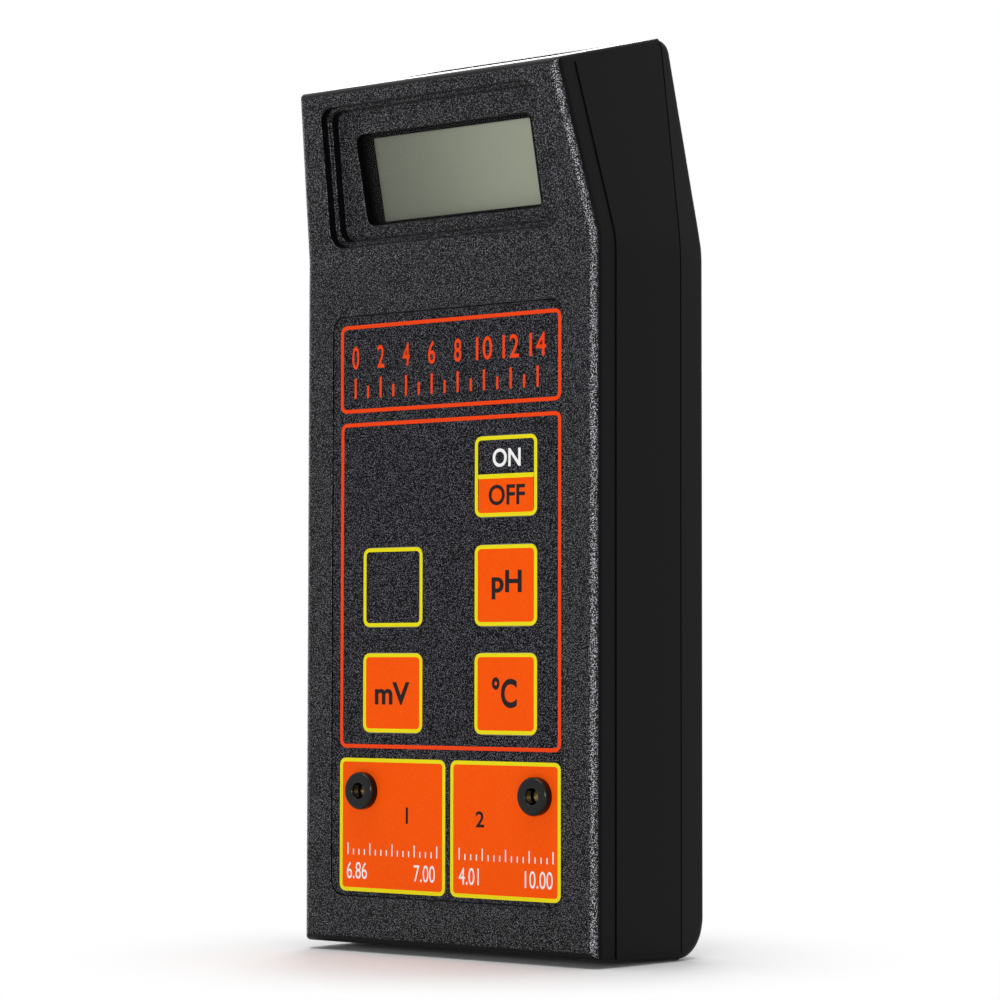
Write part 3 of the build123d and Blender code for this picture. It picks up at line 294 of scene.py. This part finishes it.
def rounded_loop(width, height, radius, middle, depth, per_corner=7):
    """Points round a rectangle in a plane square to the depth: each corner's centre, plus the radius
    times the cosine and sine of an angle that runs through a quarter turn."""
    turn = np.linspace(0, math.pi / 2, per_corner)
    corners = np.array([[1, 1], [-1, 1], [-1, -1], [1, -1]], float)
    centre = corners * (np.array([width, height]) / 2 - radius)
    angle = turn[None, :] + np.arange(4)[:, None] * math.pi / 2
    x = middle[0] + centre[:, :1] + radius * np.cos(angle)
    z = middle[1] + centre[:, 1:] + radius * np.sin(angle)
    return np.stack([x.ravel(), np.full(x.size, depth), z.ravel()], -1) / 1000


def skin(name, loops, material, body, closed=False):
    """Joins a stack of equal loops with quads, as a ring if closed, else with a face at each end."""
    count, around = loops.shape[:2]
    rows = np.arange(count if closed else count - 1)[:, None]
    steps = np.arange(around)[None, :]
    near, far = rows * around, (rows + 1) % count * around
    ahead = (steps + 1) % around
    quads = np.stack([near + steps, near + ahead, far + ahead, far + steps], -1).reshape(-1, 4)
    faces = quads.tolist()
    if not closed:
        faces.append(list(range(around))[::-1])
        faces.append(list(range((count - 1) * around, count * around)))
    mesh = bpy.data.meshes.new(name)
    mesh.from_pydata(loops.reshape(-1, 3).tolist(), [], faces)
    mesh.validate()
    mesh.materials.append(material)
    piece = bpy.data.objects.new(name, mesh)
    bpy.context.scene.collection.objects.link(piece)
    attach(piece, body)


def printed_plate(name, width, height, radius, middle, face_y, ink, body, thick=ink_thick):
    """A printed patch: a round-cornered plate of ink on a surface that faces the front."""
    loops = np.stack([rounded_loop(width, height, radius, middle, face_y),
                      rounded_loop(width, height, radius, middle, face_y - thick)])
    skin(name, loops, ink, body)


def printed_line(name, width, height, radius, middle, line, face_y, ink, body, slot, thick=ink_thick):
    """A printed outline: a ring of ink whose outer edge is the given rectangle."""
    least_radius = 0.2
    inner = (width - 2 * line, height - 2 * line, max(radius - line, least_radius))
    loops = np.stack([rounded_loop(width, height, radius, middle, face_y),
                      rounded_loop(width, height, radius, middle, face_y - thick),
                      rounded_loop(*inner, middle, face_y - thick),
                      rounded_loop(*inner, middle, face_y)])
    skin(name, loops, ink, body, closed=True)


film_black = finish("film_black", (0.0018, 0.0018, 0.0026), 0.34, 0.03, gloss=0.055)
# The grain's paler peaks are painted glints.
add_grain(film_black, 0.21, 0.03, (0.39, 0.39, 0.45))
dress(["keypad_overlay"], film_black)
film_clear = finish("film_clear", (0.62, 0.62, 0.56), 0.30, 0.05)
dress(["keypad_spacer", "keypad_circuit", "keypad_tail"], film_clear)

ink_vermilion = finish("ink_vermilion", (0.84, 0.058, 0.007), 0.50, 0.03, gloss=0.07)
print_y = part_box("keypad_overlay")[0].y * 1000 + ink_sunk
line_wide, frame_radius = 0.78, 1.6
for name, size, middle in (("title_frame", (58.35, 18.15), (0.675, 119.33)),
                           ("key_frame", (58.15, 66.75), (0.775, 74.78))):
    printed_line(name, *size, frame_radius, middle, line_wide, print_y, ink_vermilion, "meter", "key_orange")


# Scale in the title's place. It is screen printed on the laminate like the frame round it: the
# fourteen steps of acidity as plain even numbers over a row of ticks.

def printed_text(name, words, left, right, low, high, face_y, ink, body, bold=0.0):
    """Printed characters that fill a box on a surface facing the front. Each point's share of the
    letters' own width and height is taken of the box's, and its share of their depth of the ink's."""
    curve = bpy.data.curves.new(name, "FONT")
    curve.body = words
    curve.extrude = 0.5
    curve.offset = bold
    curve.resolution_u = 6
    source = bpy.data.objects.new(name + "_source", curve)
    bpy.context.scene.collection.objects.link(source)
    bpy.context.view_layer.update()
    ready = source.evaluated_get(bpy.context.evaluated_depsgraph_get())
    mesh = bpy.data.meshes.new_from_object(ready)
    bpy.data.objects.remove(source)
    bpy.data.curves.remove(curve)
    points = np.empty(len(mesh.vertices) * 3)
    mesh.vertices.foreach_get("co", points)
    points = points.reshape(-1, 3)
    lowest, highest = points.min(0), points.max(0)
    share = (points - lowest) / (highest - lowest)
    placed = np.stack([left + share[:, 0] * (right - left), face_y - share[:, 2] * ink_thick,
                       low + share[:, 1] * (high - low)], -1) / 1000
    mesh.vertices.foreach_set("co", placed.ravel())
    mesh.materials.clear()
    mesh.materials.append(ink)
    piece = bpy.data.objects.new(name, mesh)
    bpy.context.scene.collection.objects.link(piece)
    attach(piece, body)


scale_left, scale_pitch, tick_wide, tick_radius = -24.4, 3.45, 0.55, 0.1
tick_foot, number_low, number_high = 113.2, 119.3, 124.0
for step in range(15):
    x = scale_left + step * scale_pitch
    numbered = step % 2 == 0
    tall = 4.2 if numbered else 2.6
    printed_plate(f"scale_tick_{step}", tick_wide, tall, tick_radius, (x, tick_foot + tall / 2), print_y,
                  ink_vermilion, "meter")
    if numbered:
        half = 0.95 if step < 10 else 2.1
        printed_text(f"scale_number_{step}", str(step), x - half, x + half, number_low, number_high, print_y,
                     ink_vermilion, "meter", bold=0.01)


# Keys. Five square areas of the same sheet, each over its own steel snap dome, so that the sheet
# bends in where a finger presses. Each has a yellow outline and its mark, all screen printed.

def middle_mm(low, high, axes="xz"):
    """The middle of a box along two axes, in millimetres."""
    return [(getattr(low, axis) + getattr(high, axis)) * 500 for axis in axes]


ink_orange = finish("ink_orange", (0.93, 0.090, 0.001), 0.50, 0.03, gloss=0.06)
# The grain's paler peaks are painted glints.
add_grain(ink_orange, 0.38, 0.03, (0.92, 0.135, 0.012))
ink_yellow = finish("ink_yellow", (0.80, 0.71, 0.010), 0.50, 0.03, gloss=0.07)
ink_white = finish("ink_white", (0.86, 0.86, 0.86), 0.50, 0.03, gloss=0.12)
ink_black = finish("ink_black", (0.010, 0.009, 0.009), 0.50, 0.04, gloss=0.12)
dress(["key_ph", "key_celsius", "key_mv"], ink_orange)
dress(["key_plain", "key_on_off"], film_black)
for node in ("key_ph", "key_celsius", "key_mv", "key_plain", "key_on_off"):
    low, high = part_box(node)
    size = (high.x - low.x) * 1000, (high.z - low.z) * 1000
    printed_line(node + "_outline", *size, frame_radius, middle_mm(low, high), line_wide,
                 low.y * 1000 + ink_sunk, ink_yellow, node, "key_orange", thick=outline_thick)

on_ink_y = print_y - ink_thick
printed_plate("off_field", 14.1, 7.3, 0.3, (15.8, 91.8), print_y, ink_orange, "key_on_off")
printed_plate("on_off_divider", 14.3, 0.9, 0.1, (15.8, 95.9), print_y, ink_yellow, "key_on_off",
              thick=outline_thick)
for name, words, left, right, low, high, face_y, ink, key, bold in (
        ("ph_letters", "pH", 12.2, 19.9, 71.4, 77.2, print_y, ink_black, "key_ph", 0.028),
        ("mv_letters", "mV", -18.8, -9.4, 50.3, 54.9, print_y, ink_black, "key_mv", 0.028),
        ("celsius_letters", "°C", 12.3, 18.7, 49.9, 56.0, print_y, ink_black, "key_celsius", 0.028),
        ("on_letters", "ON", 12.4, 19.6, 97.7, 101.4, print_y, ink_white, "key_on_off", 0.02),
        ("off_letters", "OFF", 11.4, 20.7, 90.1, 94.2, on_ink_y, ink_black, "key_on_off", 0.02)):
    printed_text(name, words, left, right, low, high, face_y, ink, key, bold=bold)


# Calibration fields. Two orange fields with yellow outlines at the sheet's foot, with the
# trimmers' collars in their upper outer corners, buffer values in white and plain step numbers.

def round_loop(radius, middle, depth, count=28):
    """Points round a circle in a plane square to the depth: the middle, plus the radius times the
    cosine and sine of each half step of a full turn."""
    turn = (np.arange(count) + 0.5) * 2 * math.pi / count
    x = middle[0] + radius * np.cos(turn)
    return np.stack([x, np.full(count, depth), middle[1] + radius * np.sin(turn)], -1) / 1000


def pierced_field(name, width, height, radius, middle, hole, hole_radius, face_y, ink):
    """A printed field with a round hole: the strip between its outline and the hole's circle."""
    front_y = face_y - ink_thick
    loops = np.stack([rounded_loop(width, height, radius, middle, face_y),
                      rounded_loop(width, height, radius, middle, front_y),
                      round_loop(hole_radius, hole, front_y), round_loop(hole_radius, hole, face_y)])
    skin(name, loops, ink, "meter", closed=True)


field_middle_z, outline_tall, outline_radius = 25.75, 27.2, 1.5
field_inset, field_radius, collar_clear = 0.6, 0.6, 3.4
for name, left, right in (("std", -28.3, 0.2), ("slope", 1.55, 29.8)):
    middle = ((left + right) / 2, field_middle_z)
    hole = middle_mm(*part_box(name + "_collar"))
    pierced_field(name + "_field", right - left - 2 * field_inset, outline_tall - 2 * field_inset,
                  field_radius, middle, hole, collar_clear, print_y, ink_orange)
    printed_line(name + "_outline", right - left, outline_tall, outline_radius, middle, line_wide, print_y,
                 ink_yellow, "meter", "key_orange", thick=outline_thick)

printed_text("step_one", "1", -10.3, -9.7, 26.3, 29.6, on_ink_y, ink_black, "meter", bold=0.01)
printed_text("step_two", "2", 8.2, 10.4, 26.2, 29.4, on_ink_y, ink_black, "meter", bold=0.02)
value_low, value_high = 14.7, 18.1
for name, words, left, right in (("acid_first", "6.86", -26.3, -20.8), ("neutral", "7.00", -8.1, -2.5),
                                 ("acid_second", "4.01", 3.8, 9.0), ("alkaline", "10.00", 20.8, 27.8)):
    printed_text(name + "_value", words, left, right, value_low, value_high, on_ink_y, ink_white, "meter")
rule_foot, rule_pitch, rule_wide, rule_radius = 19.6, 1.5, 0.28, 0.05
for name, left in (("std", -26.0), ("slope", 3.9)):
    for step in range(17):
        tall = 2.4 if step % 4 == 0 else 1.2
        middle = (left + step * rule_pitch, rule_foot + tall / 2)
        printed_plate(f"{name}_rule_{step}", rule_wide, tall, rule_radius, middle, on_ink_y, ink_white,
                      "meter")


# Collars and trimmers. Polished black collars stand on the sheet; down each bore is the slotted
# brass screw of a trimmer that is soldered to the main board.

collar_gloss = finish("collar_gloss", (0.003, 0.003, 0.003), 0.17, 0.03, size_mm=4.0, gloss=0.24)
dress(["std_collar", "slope_collar"], collar_gloss)
turned_brass = finish("turned_brass", (0.78, 0.55, 0.22), 0.27, 0.06, metallic=1.0, size_mm=1.0)
dress(["std_screw", "slope_screw", "bnc_contact"], turned_brass)
trimmer_blue = finish("trimmer_blue", (0.03, 0.11, 0.45), 0.35, 0.05)
dress(["std_trimmer", "slope_trimmer"], trimmer_blue)


# Display. A clear window and a black moulded bezel stand in front of an unlit liquid crystal cell:
# grey-green glass with a polariser, with painted shade to its left and painted light to its right, and a
# silver film behind it.

bezel_black = finish("bezel_black", (0.004, 0.004, 0.004), 0.45, 0.05, gloss=0.05)
dress(["lcd_bezel"], bezel_black)

cell = finish("cell_grey_green", (0.249, 0.266, 0.207), 0.34, 0.02, size_mm=20.0, gloss=0.2)
cell_tree = cell.node_tree
across_cell = cell_tree.nodes.new("ShaderNodeSeparateXYZ")
cell_place = cell_tree.nodes.new("ShaderNodeTexCoord")
feed(cell_tree, cell_place.outputs["Object"], across_cell.inputs[0])
# Painted shade and light: the cell's colour is scaled from dark at its left, where the recess shades it, to
# paler at its right.
shade_deepest_x, light_fullest_x, deepest_shade_tone, fullest_light_tone = -0.024, 0.022, 0.56, 1.24
painted_cell_color = cell_tree.nodes.new("ShaderNodeVectorMath")
painted_cell_color.operation = "SCALE"
feed(cell_tree, cell_tree.nodes["tint"].outputs["Result"], painted_cell_color.inputs["Vector"])
cell_painted_shade_and_light = mapped(cell_tree, across_cell.outputs["X"], shade_deepest_x, light_fullest_x, deepest_shade_tone, fullest_light_tone, eased=True)
feed(cell_tree, cell_painted_shade_and_light, painted_cell_color.inputs["Scale"])
feed(cell_tree, painted_cell_color.outputs["Vector"], cell_tree.nodes["Principled BSDF"].inputs["Base Color"])
dress(["lcd_glass", "lcd_polariser"], cell)
silver_film = finish("silver_film", (0.6, 0.62, 0.57), 0.35, 0.06, metallic=0.7)
dress(["lcd_reflector"], silver_film)

clear_window = bpy.data.materials.new("clear_window")
clear_window.use_nodes = True
window_tree = clear_window.node_tree
window_shader = window_tree.nodes["Principled BSDF"]
window_shader.inputs["Base Color"].default_value = (0.97, 0.98, 0.96, 1)
window_shader.inputs["Roughness"].default_value = 0.02
window_shader.inputs["IOR"].default_value = 1.10
window_shader.inputs["Transmission Weight"].default_value = 1.0
see_through = window_tree.nodes.new("ShaderNodeBsdfTransparent")
path = window_tree.nodes.new("ShaderNodeLightPath")
lets_light_in = worked(window_tree, "MAXIMUM", path.outputs["Is Shadow Ray"], path.outputs["Is Diffuse Ray"])
choose = window_tree.nodes.new("ShaderNodeMixShader")
feed(window_tree, lets_light_in, choose.inputs["Fac"])
feed(window_tree, window_shader.outputs[0], choose.inputs[1])
feed(window_tree, see_through.outputs[0], choose.inputs[2])
feed(window_tree, choose.outputs[0], window_tree.nodes["Material Output"].inputs["Surface"])
dress(["display_lens"], clear_window)

# The window is drawn a little inside its solid, so that it shares no surface with the bezel.
lens_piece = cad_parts["display_lens"]
ease = lens_piece.modifiers.new("ease", "DISPLACE")
ease.mid_level, ease.strength = 0.0, -0.00003
lens_piece.modifiers.move(len(lens_piece.modifiers) - 1, 1)

striped_rubber = finish("striped_rubber", (0.45, 0.22, 0.26), 0.6, 0.05)
dress(["zebra_strips"], striped_rubber)


# Boards. Two green glass-fibre boards, each held by its own screws, with epoxy chips, tinned cans,
# sleeved capacitors and a white nylon connector soldered to them. An amber film jumper joins them.

solder_mask = finish("solder_mask", (0.012, 0.13, 0.045), 0.33, 0.06)
dress(["main_board", "display_board"], solder_mask)
epoxy_black = finish("epoxy_black", (0.018, 0.018, 0.018), 0.5, 0.06)
dress(["converter_chip", "amplifier_chips", "probe_jack"], epoxy_black)
tinned_can = finish("tinned_can", (0.62, 0.63, 0.64), 0.3, 0.07, metallic=1.0, size_mm=5.0)
dress(["crystal", "input_shield"], tinned_can)
sleeve_blue = finish("sleeve_blue", (0.02, 0.04, 0.2), 0.32, 0.05)
dress(["capacitors"], sleeve_blue)
nylon_white = finish("nylon_white", (0.80, 0.79, 0.75), 0.4, 0.05)
dress(["keypad_connector", "bnc_insulator"], nylon_white)
amber_film = finish("amber_film", (0.5, 0.25, 0.05), 0.3, 0.05)
dress(["display_ribbon"], amber_film)


# Sockets in the well. The electrode's bayonet socket is turned brass with nickel plate, held by a
# nut, with two lugs on its nose; the probe's jack is moulded, with a round nickel plated nut.

nickel_plate = finish("nickel_plate", (0.70, 0.68, 0.63), 0.24, 0.07, metallic=1.0, size_mm=5.0)
dress(["bnc_body", "bnc_washer", "bnc_nut", "probe_jack_nut", "battery_terminals", "snap_contacts"],
      nickel_plate)
lead_grey = finish("lead_grey", (0.10, 0.10, 0.10), 0.5, 0.05)
dress(["electrode_lead", "probe_lead"], lead_grey)


def turned_pin(name, profile, middle, material, body, around=28):
    """A pin turned about an axis along y: each of its profile's rows is a radius, times the sine and
    cosine of each step of a full turn, and a distance along the axis, in millimetres."""
    profile = np.array(profile, float)
    turn = np.linspace(0, 2 * math.pi, around, endpoint=False)
    loops = np.zeros((len(profile), around, 3))
    loops[..., 0] = profile[:, :1] * np.sin(turn)
    loops[..., 1] = profile[:, 1:]
    loops[..., 2] = profile[:, :1] * np.cos(turn)
    skin(name, (loops + np.array(middle)) / 1000, material, body)


nose_low, nose_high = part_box("bnc_body")
lug_drop, lug_radius, lug_end_radius = 4.8, 0.95, 0.75
lug_from, lug_round, lug_end = 4.7, 5.2, 5.45
for side, name in ((-1, "bnc_lug_front"), (1, "bnc_lug_rear")):
    lug = [(lug_radius, lug_from * side), (lug_radius, lug_round * side), (lug_end_radius, lug_end * side)]
    lug_middle = (*middle_mm(nose_low, nose_high, "xy"), nose_high.z * 1000 - lug_drop)
    turned_pin(name, lug, lug_middle, nickel_plate, "meter")


# Battery. A nine volt block in a printed metal jacket, with a vinyl snap cap and two leads, lies
# behind the door, whose glued foam strip keeps it from rattling.

battery_jacket = finish("battery_jacket", (0.03, 0.032, 0.036), 0.3, 0.06)
dress(["battery"], battery_jacket)
copper_band = finish("copper_band", (0.62, 0.27, 0.10), 0.3, 0.05, metallic=0.8)
battery_low, battery_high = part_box("battery")
battery_size = (battery_high - battery_low) * 1000
battery_middle = middle_mm(battery_low, battery_high, "xy")
band_proud, corner_radius = 0.04, 2.0
band_low, band_high = battery_high.z * 1000 - 13.0, battery_high.z * 1000 - 0.6
band = [rounded_loop(battery_size.x + proud, battery_size.y + proud, corner_radius, battery_middle, level)
        for proud, level in ((0, band_low), (band_proud, band_low), (band_proud, band_high), (0, band_high))]
upright_band = np.stack(band)[:, ::-1, (0, 2, 1)]
skin("battery_band", upright_band, copper_band, "meter", closed=True)
soft_vinyl = finish("soft_vinyl", (0.02, 0.02, 0.02), 0.6, 0.06)
dress(["snap_cap", "battery_lead_minus"], soft_vinyl)
lead_red = finish("lead_red", (0.45, 0.015, 0.01), 0.45, 0.05)
dress(["battery_lead_plus"], lead_red)
foam = finish("foam", (0.03, 0.03, 0.03), 0.95, 0.04)
add_grain(foam, 0.8, 0.3)
dress(["battery_door_foam"], foam)


# Studio. A white floor fades into a white surround. One small lamp stands in front at the meter's
# right, a broad one hangs over it and one is behind it; the rest is the surround's own light.

def studio_floor(radius=6.0, rings=25, around=96, sunk=0.0002):
    """A flat disc just under the meter's foot: rings of even steps in radius, each point at the
    radius times the cosine and sine of its step of a full turn."""
    radii = np.linspace(0, radius, rings)[:, None]
    turn = np.linspace(0, 2 * math.pi, around, endpoint=False)[None, :]
    grid = np.stack([radii * np.cos(turn), radii * np.sin(turn), np.zeros((rings, around))], -1)
    rows, steps = np.arange(rings - 1)[:, None] * around, np.arange(around)[None, :]
    ahead = (steps + 1) % around
    quads = np.stack([rows + steps, rows + around + steps, rows + around + ahead, rows + ahead], -1)
    mesh = bpy.data.meshes.new("studio_floor")
    mesh.from_pydata(grid.reshape(-1, 3).tolist(), [], quads.reshape(-1, 4).tolist())
    mesh.validate()
    floor = bpy.data.objects.new("studio_floor", mesh)
    floor.location.z = -sunk
    bpy.context.scene.collection.objects.link(floor)
    floor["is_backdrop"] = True
    return floor


def background_rays(tree):
    """One for rays from the camera, off gloss or through glass, and nothing for the rest."""
    path = tree.nodes.new("ShaderNodeLightPath")
    value = path.outputs["Is Camera Ray"]
    for label in ("Is Glossy Ray", "Is Transmission Ray"):
        value = worked(tree, "MAXIMUM", value, path.outputs[label])
    return value


floor = studio_floor()
floor_white = bpy.data.materials.new("floor_white")
floor_white.use_nodes = True
floor_tree = floor_white.node_tree
floor_shader = floor_tree.nodes["Principled BSDF"]
floor_shader.inputs["Base Color"].default_value = (0.92, 0.92, 0.92, 1)
floor_shader.inputs["Roughness"].default_value = 0.8
floor_shader.inputs["Specular IOR Level"].default_value = 0.2
glow = floor_tree.nodes.new("ShaderNodeEmission")
glow.inputs["Color"].default_value = (1, 1, 1, 1)
floor_place = floor_tree.nodes.new("ShaderNodeTexCoord")
distance = floor_tree.nodes.new("ShaderNodeVectorMath")
distance.operation = "LENGTH"
feed(floor_tree, floor_place.outputs["Object"], distance.inputs[0])
fade_from, fade_to = 0.035, 0.095
far = mapped(floor_tree, distance.outputs["Value"], fade_from, fade_to, eased=True)
blend = floor_tree.nodes.new("ShaderNodeMixShader")
feed(floor_tree, worked(floor_tree, "MULTIPLY", far, background_rays(floor_tree)), blend.inputs["Fac"])
feed(floor_tree, floor_shader.outputs[0], blend.inputs[1])
feed(floor_tree, glow.outputs[0], blend.inputs[2])
feed(floor_tree, blend.outputs[0], floor_tree.nodes["Material Output"].inputs["Surface"])
floor.data.materials.append(floor_white)

world = bpy.data.worlds.new("studio")
bpy.context.scene.world = world
world.use_nodes = True
tone = world.node_tree.nodes.new("ShaderNodeMix")
tone.inputs["A"].default_value = 0.23
tone.inputs["B"].default_value = 1.0
feed(world.node_tree, background_rays(world.node_tree), tone.inputs["Factor"])
feed(world.node_tree, tone.outputs["Result"], world.node_tree.nodes["Background"].inputs["Color"])

aimed_at = Vector((0, 0, 0.09))
for name, azimuth, height, distance_m, size, power in (("key_lamp", 28, 0.14, 1.0, 0.22, 4.1),
                                                       ("top_lamp", -60, 1.25, 0.05, 0.9, 11.5),
                                                       ("back_lamp", 215, 0.45, 1.1, 0.5, 4.0)):
    lamp = bpy.data.lights.new(name, "AREA")
    lamp.shape = "RECTANGLE"
    lamp.size, lamp.size_y = size, size
    lamp.energy = power
    holder = bpy.data.objects.new(name, lamp)
    turn = math.radians(azimuth)
    holder.location = (math.sin(turn) * distance_m, -math.cos(turn) * distance_m, height)
    holder.rotation_euler = (aimed_at - holder.location).to_track_quat("-Z", "Y").to_euler()
    bpy.context.scene.collection.objects.link(holder)

bpy.context.scene.view_settings.view_transform = "Standard"


# Camera, at the photograph's place: low at the meter's right front, looking a little upwards.

yaw, pitch, roll = math.radians(39.618), math.radians(2.894), math.radians(0.092)
ahead = Vector((-math.sin(yaw) * math.cos(pitch), math.cos(yaw) * math.cos(pitch), math.sin(pitch)))
level = Vector((math.cos(yaw), math.sin(yaw), 0))
upward = level.cross(ahead)
right = level * math.cos(roll) + upward * math.sin(roll)
top = upward * math.cos(roll) - level * math.sin(roll)
camera_place = (0.43013, -0.51622, 0.05816)
lens = bpy.data.cameras.new("camera")
lens.sensor_width = 36.0
lens.lens = 118.39
lens.clip_start, lens.clip_end = 0.01, 50
camera = bpy.data.objects.new("camera", lens)
turned = Matrix((right, top, -ahead)).transposed().to_4x4()
camera.matrix_world = Matrix.Translation(camera_place) @ turned
bpy.context.scene.collection.objects.link(camera)
bpy.context.scene.camera = camera

low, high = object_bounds()
